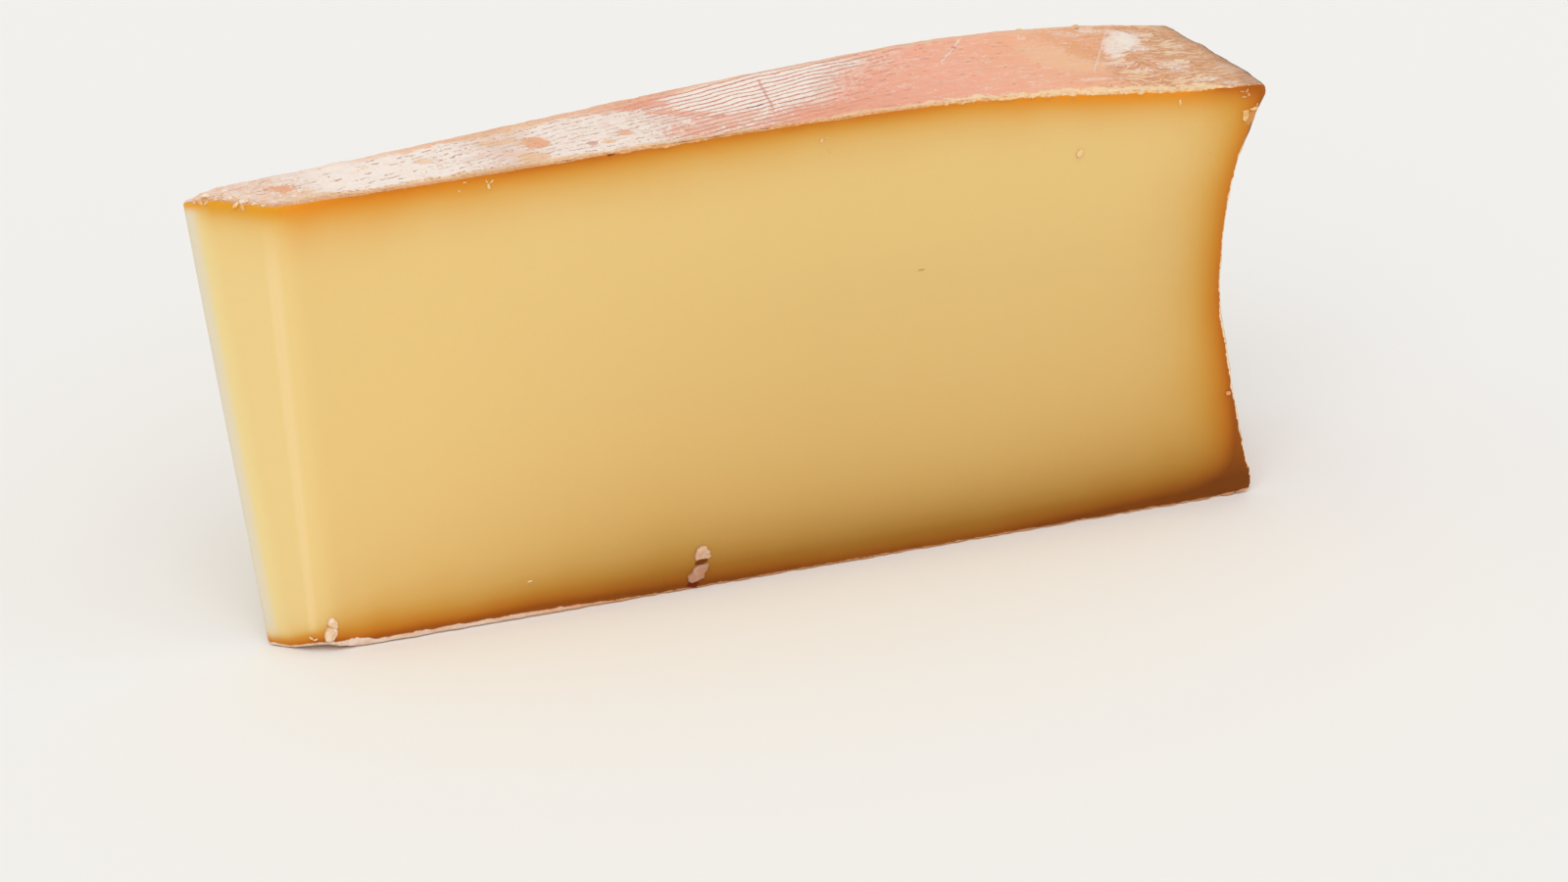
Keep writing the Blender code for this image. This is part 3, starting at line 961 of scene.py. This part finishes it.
def layHeel(paint, at):  # browner, with bloom in patches, and its rims are browner still
    bloom = paint.step(at.coarse * 0.4 + at.medium * 0.3 + at.fine * 0.3, 0.47, 0.62)
    heel = at.blend(paint.step(at.medium, 0.4, 0.65), "heel", "heelDark")
    heel = at.blend(bloom * 0.5, heel, "bloomPink")
    at.lay(at.heelShare, at.blend(at.line * 0.4, heel, "heelDark"))
    halo = 1 - paint.step(at.toHeel + (at.coarse - 0.5) * 9 + (at.fibre - 0.5) * 12, 2, 6)
    at.lay(halo * paint.step(at.height, 60, 66) * 0.6, "rimHalo")
    rim = 1 - paint.step(at.toHeel + (at.medium - 0.5) * 1.6 - (at.coarse - 0.5) * 1.6, 1.6, 3.0)
    at.lay(rim * paint.step(at.height, 66, 70) * 0.85, "rim")


def layEdge(paint, at):  # the torn edge next to a cut, deepest at the cut itself
    right = paint.step(at.along, 100, 115)
    inside = at.toCut - at.level["edgeWidth"] * 10 - at.ragged * (5.0 + right * 4)
    edge = 1 - paint.step(inside - (at.medium - 0.5) * right * 4, -0.4, 0.5)
    grade = paint.step(at.toCut * 0.35 + at.fine * 1.8 + at.level["edgeGrade"], 0.85, 1.5)
    tone = at.blend(grade, "edge", at.blend(right, "edgeLight", "edgeRight"))
    atBack = (1 - paint.step(at.toBack - at.toCut, 0.1, 0.8)) * paint.step(at.behind, 4, 8)
    tone = at.blend(atBack * 0.9, tone, "backEdge")
    spot = paint.step(at.fine, 0.54, 0.60) * (1 - paint.step(at.along, 34, 44)) * (1 - atBack)
    tone = at.blend(spot * 0.6, tone, "brown")
    edge = edge * (1 - atBack * (1 - at.level["backEdge"]))
    at.lay(edge * (0.9 - right * 0.1), tone)
    return edge


def patch(paint, at, middle, halves, turn, ragged):  # 1 in an oval with a ragged edge
    cosine, sine = math.cos(math.radians(turn)), math.sin(math.radians(turn))
    offX, offY = at.along - middle[0], at.behind - middle[1]
    turnedX = (offX * cosine + offY * sine) / halves[0]
    turnedY = (offY * cosine - offX * sine) / halves[1]
    return 1 - paint.step(turnedX * turnedX + turnedY * turnedY + ragged, 0.65, 1.2)


def stroke(paint, at, start, end, halfWidth):  # 1 on a line between two points
    length = math.dist(start, end)
    wayX, wayY = (end[0] - start[0]) / length, (end[1] - start[1]) / length
    offX, offY = at.along - start[0], at.behind - start[1]
    done = offX * wayX + offY * wayY
    side = paint.size(offY * wayX - offX * wayY + at.ragged * 1.5)
    near = 1 - paint.step(side, halfWidth * 0.5, halfWidth)
    return near * paint.step(done, -0.5, 0.3) * (1 - paint.step(done, length - 0.3, length + 0.5))


# scraps of rind on the front cut: each one's thickness and its outline, corners along and up in millimetres
scraps = {
    "noseUpper": (0.9, (
        (1.0, 5.7), (1.6, 6.0), (1.9, 5.6), (2.3, 5.3), (2.4, 4.9), (2.4, 4.4), (2.2, 4.1), (1.3, 4.3),
        (1.0, 4.6), (0.8, 5.0),
    )),
    "noseLower": (1.0, (
        (1.0, 4.4), (2.2, 4.1), (2.4, 3.6), (2.2, 2.8), (1.7, 2.1), (1.1, 1.9), (0.4, 2.0), (0.2, 2.8),
        (0.4, 3.6), (0.7, 4.2),
    )),
    "middleUpper": (0.9, (
        (66.0, 7.0), (66.9, 7.4), (67.6, 7.4), (67.9, 6.7), (68.3, 6.4), (68.2, 5.9), (68.6, 5.6),
        (68.0, 5.15), (66.9, 5.2), (65.7, 5.2), (65.6, 5.6), (65.8, 6.5),
    )),
    "middleLower": (0.9, (
        (65.4, 3.7), (66.3, 4.1), (67.4, 4.1), (68.1, 4.2), (67.8, 3.2), (67.3, 2.7), (67.2, 1.9),
        (66.0, 1.5), (65.0, 1.2), (64.4, 1.6), (64.3, 2.5), (65.0, 2.9),
    )),
    "heelFlap": (0.5, (
        (166.8, 69.5), (167.9, 69.5), (167.9, 68.7), (167.7, 67.9), (167.1, 67.5), (166.8, 67.9),
    )),
    "heelPink": (0.5, ((168.0, 69.5), (168.9, 69.9), (169.7, 69.8), (169.6, 69.3), (168.8, 69.3))),
}
scrapForm = {"sink": 0.35, "boxy": 0.45, "wander": 0.07, "wanderSize": 0.6, "seed": 3}
crumbForm = {"sink": 0.12, "lumpy": 0.45, "lumpSize": 1.6}
noseFall = 0.2  # how far scraps and crumbs fall back on the rounding of the nose, as a share of it
seedShift = 7  # each scrap and crumb has its own stretch of noise
# lumps of paste: middle along and up, length, breadth and turn in degrees
crumbs = {
    "paste": (
        (30.1, 75.3, 1.0, 0.5, 80), (30.6, 76.1, 0.8, 0.26, -40), (29.8, 76.2, 0.7, 0.22, 60),
        (25.0, 75.3, 0.5, 0.24, 30), (26.0, 76.6, 0.6, 0.22, 0), (88.6, 75.0, 0.8, 0.4, -60),
        (89.6, 75.3, 0.4, 0.25, 0), (90.1, 73.0, 0.6, 0.25, 80), (136.0, 66.2, 1.8, 0.9, -60),
        (154.8, 72.6, 1.0, 0.4, 85), (160.8, 63.0, 0.6, 0.35, 20), (36.1, 6.4, 0.9, 0.35, -10),
        (165.4, 19.0, 0.9, 0.8, 0), (-1.6, 2.4, 1.0, 0.35, 40), (-1.0, 2.2, 0.9, 0.3, -10),
        (166.5, 72.9, 1.0, 0.35, 10), (167.5, 72.9, 0.9, 0.35, -50), (167.0, 71.9, 1.2, 0.4, 5),
        (167.8, 72.2, 0.8, 0.5, 60), (169.5, 70.2, 0.7, 0.35, -60),
    ),
    # lumps of rind: middle along, behind and up, length, breadth and turn in degrees
    "rind": (
        (-14.0, 9.8, 77.0, 1.7, 0.8, 0), (-11.4, 6.8, 77.1, 1.5, 0.7, 0), (-9.6, 4.4, 77.1, 1.7, 0.9, 0),
        (-7.7, 8.1, 77.2, 1.0, 0.5, 0), (-10.5, 10.6, 77.1, 1.1, 0.5, 0), (-6.4, 3.4, 77.2, 1.3, 0.6, 0),
        (-4.2, 1.9, 77.2, 1.1, 0.5, 0), (-1.7, 3.1, 77.2, 1.3, 0.5, 0), (1.1, 1.6, 77.2, 0.9, 0.4, 0),
        (-6.2, 6.6, 77.2, 0.9, 0.5, 0), (-8.4, 2.8, 77.0, 1.2, 0.6, 20), (-12.6, 8.2, 77.0, 1.2, 0.6, 0),
        (-10.1, 3.7, 76.4, 1.4, 0.6, 70), (-15.2, 8.9, 76.3, 1.1, 0.5, 60), (-16.0, 9.7, 76.4, 1.0, 0.45, 80),
        (-14.6, 8.3, 76.3, 0.9, 0.4, -50), (-10.9, 4.5, 76.7, 1.3, 0.55, -40),
        (-13.2, 7.4, 77.0, 0.9, 0.5, 10),
        (-9.9, 7.0, 77.2, 0.8, 0.4, 0), (-8.6, 5.2, 77.2, 0.9, 0.45, 0), (-7.2, 1.6, 76.9, 1.0, 0.5, 10),
        (-5.0, 0.9, 76.9, 0.8, 0.4, 0), (-2.6, 1.0, 77.0, 1.0, 0.4, 0), (0.4, 0.6, 77.0, 0.8, 0.35, 0),
        (12.2, 10.6, 77.15, 1.7, 0.6, 0), (13.7, 11.5, 77.15, 1.4, 0.5, 10),
        (13.1, 12.5, 77.1, 1.2, 0.5, 0), (142.5, 35.6, 76.6, 1.2, 0.7, 0), (154.3, 37.4, 75.3, 1.4, 0.7, 0),
    ),
}


def outlineReach(corners, way):  # how far it is from the middle to the outline in a direction
    reach = 0.0
    for start, end in zip(corners, corners[1:] + corners[:1]):
        side = end - start
        crossing = way.cross(side)
        if abs(crossing) > 1e-9:
            distance, share = start.cross(side) / crossing, start.cross(way) / crossing
            if distance > 0 and -1e-6 <= share <= 1 + 1e-6:
                reach = max(reach, distance)
    return reach


def frontPlace(along, up):  # a place on the front cut, which is rounded off towards the nose
    rounding = block["noseArris"][0] / mm
    over = max(0.0, rounding - along)
    return Vector(wheel["creaseFoot"]) + Vector((along, over * over * noseFall / rounding, up)) * mm


def addScrap(bm, thickness, outline, seed):
    middle = sum((Vector(corner) for corner in outline), Vector((0, 0))) / len(outline)
    corners = [Vector(corner) - middle for corner in outline]
    made = bmesh.ops.create_icosphere(bm, subdivisions=5, radius=1.0)["verts"]
    for vert in made:
        spread = min(math.hypot(vert.co.x, vert.co.z), 1.0)
        way = Vector((vert.co.x, vert.co.z)).normalized()
        flat = way * outlineReach(corners, way) * spread ** scrapForm["boxy"]
        deep = math.copysign(abs(vert.co.y) ** scrapForm["boxy"], vert.co.y) * thickness / 2
        place = Vector((flat.x, deep, flat.y))
        shift = noise.noise_vector((place + Vector((0, seed * seedShift, 0))) / scrapForm["wanderSize"])
        vert.co = place + shift * scrapForm["wander"]
    bmesh.ops.scale(bm, verts=made, vec=(mm, mm, mm))
    sunk = Vector((0, thickness * (scrapForm["sink"] - 0.5) * mm, 0))
    bmesh.ops.translate(bm, verts=made, vec=frontPlace(*middle) + sunk)


def addCrumb(bm, place, length, breadth, turn, seed):
    made = bmesh.ops.create_icosphere(bm, subdivisions=3, radius=0.5)["verts"]
    for vert in made:
        way = vert.co.normalized()
        lump = noise.noise(way * crumbForm["lumpSize"] + Vector((seed * seedShift, 0, 0)))
        vert.co *= 1 + crumbForm["lumpy"] * lump
    bmesh.ops.scale(bm, verts=made, vec=(length * mm, breadth * mm, breadth * mm))
    bmesh.ops.rotate(bm, verts=made, matrix=Matrix.Rotation(math.radians(turn), 3, "Y"))
    bmesh.ops.translate(bm, verts=made, vec=place)


def makeScraps():
    noise.seed_set(scrapForm["seed"])  # without it their noise would change with the clock
    bm = bmesh.new()
    for seed, (thickness, outline) in enumerate(scraps.values()):
        addScrap(bm, thickness, outline, seed)
    finishSmall(bm, "scraps", scrapPaint())


def makeCrumbs():
    bm = bmesh.new()
    for seed, (along, up, length, breadth, turn) in enumerate(crumbs["paste"]):
        place = frontPlace(along, up) - Vector((0, breadth * crumbForm["sink"] * mm, 0))
        addCrumb(bm, place, length, breadth, turn, seed)
    finishSmall(bm, "crumbs", crumbPaint())
    bm = bmesh.new()
    for seed, (along, behind, up, length, breadth, turn) in enumerate(crumbs["rind"]):
        place = Vector(wheel["creaseFoot"]) + Vector((along, behind, up)) * mm
        addCrumb(bm, place, length, breadth, turn, seed)
    finishSmall(bm, "rindCrumbs", scrapPaint())


def finishSmall(bm, name, material):
    mesh = addMesh(name, bm)
    mesh.shade_smooth()
    mesh.materials.append(material)
    piece = addObject(name, mesh)
    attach(piece, "root")
    print(name + ":", len(mesh.polygons), "faces")


# tones of the scraps, a deeper and a paler one for each place
scrapTones = {
    "nose": (srgb(226, 190, 150), srgb(240, 216, 194)),
    "noseEdge": (srgb(236, 178, 118), srgb(244, 206, 158)),
    "noseTop": (srgb(236, 200, 170), srgb(248, 228, 208)),
    "middle": (srgb(204, 160, 128), srgb(218, 182, 154)),
    "heel": (srgb(222, 170, 104), srgb(238, 198, 140)),
}
# painted shade: the middle scraps are darker low down, where the front cut is shaded near the foot
scrapShade = srgb(164, 110, 88)
scrapLook = {"scattering": (0.15, 0.001, (1.0, 0.6, 0.35)), "specular": 0.25}
crumbTones = {"deep": srgb(228, 186, 126), "pale": srgb(240, 210, 162), "heel": srgb(220, 156, 100)}
crumbLook = {"scattering": (0.2, 0.001, (1.0, 0.6, 0.3)), "specular": 0.3}


def scrapPaint():
    paint = Paint("scraps")
    place = paint.place()
    along, _, height = paint.split(place)
    grain = paint.noise(place, 0.45, 3, 0.65)
    blotch = paint.step(paint.noise(place, 1.0, 2) * 0.6 + grain * 0.4, 0.42, 0.58)
    tones = {name: paint.mix(blotch, *pair) for name, pair in scrapTones.items()}
    nose = paint.mix(paint.step(height, 70, 76), tones["nose"], tones["noseEdge"])
    nose = paint.mix(paint.step(height, 76.8, 77.2), nose, tones["noseTop"])
    # painted shade on the middle scraps low down
    shadedMiddle = paint.mix(0.55, tones["middle"], scrapShade)
    middle = paint.mix(paint.step(height, 3.6, 5.6), shadedMiddle, tones["middle"])
    colour = paint.mix(paint.step(along, 20, 40), nose, middle)
    colour = paint.mix(paint.step(along, 120, 140), colour, tones["heel"])
    return paint.finish(colour, 0.65, [(grain, 0.12)], **scrapLook)


def crumbPaint():
    paint = Paint("crumbs")
    place = paint.place()
    along, _, _ = paint.split(place)
    colour = paint.mix(paint.noise(place, 0.8, 2), crumbTones["deep"], crumbTones["pale"])
    colour = paint.mix(paint.step(along, 158, 164), colour, crumbTones["heel"])
    return paint.finish(colour, 0.5, [(paint.noise(place, 0.4, 2, 0.6), 0.05)], **crumbLook)


studio = {
    "camera": (-0.40183, -0.89976, 0.3955),
    "look": (0.3905, 0.848, -0.3584),
    "lens": 144.0,
    "world": (0.76, srgb(255, 254, 252)),
    "floor": (6.0, srgb(243, 242, 240)),
    # soft lights: where each comes from, how wide it is in degrees, and its strength
    "lights": {
        "key": ((-0.45, -0.80, 0.85), 50, 0.95),
        "fill": ((0.9, -0.9, 0.9), 60, 0.15),
    },
}


def aim(made, way):
    made.rotation_euler = Vector(way).to_track_quat("-Z", "Y").to_euler()


def makeStudio():
    size, tone = studio["floor"]
    bm = bmesh.new()
    bmesh.ops.create_grid(bm, x_segments=1, y_segments=1, size=size)
    floor = addObject("floor", addMesh("floor", bm))
    paint = Paint("floor")
    paint.hold({"Base Color": tone, "Roughness": 0.9, "Specular IOR Level": 0.1})
    floor.data.materials.append(paint.material)
    for name, (source, width, strength) in studio["lights"].items():
        light = bpy.data.lights.new(name, "SUN")
        light.angle = math.radians(width)
        light.energy = strength
        aim(addObject(name, light), -Vector(source))
    strength, colour = studio["world"]
    world = bpy.data.worlds.new("studio")
    world.use_nodes = True
    world.node_tree.nodes["Background"].inputs["Color"].default_value = colour
    world.node_tree.nodes["Background"].inputs["Strength"].default_value = strength
    bpy.context.scene.world = world
    camera = addObject("camera", bpy.data.cameras.new("camera"))
    camera.location = studio["camera"]
    aim(camera, studio["look"])
    camera.data.lens = studio["lens"]
    camera.data.clip_start = 0.01
    bpy.context.scene.camera = camera
    bpy.context.scene.view_settings.view_transform = "Standard"
    print("studio ready")


makeCheese()
makeScraps()
makeCrumbs()
makeStudio()

bpy.context.view_layer.update()
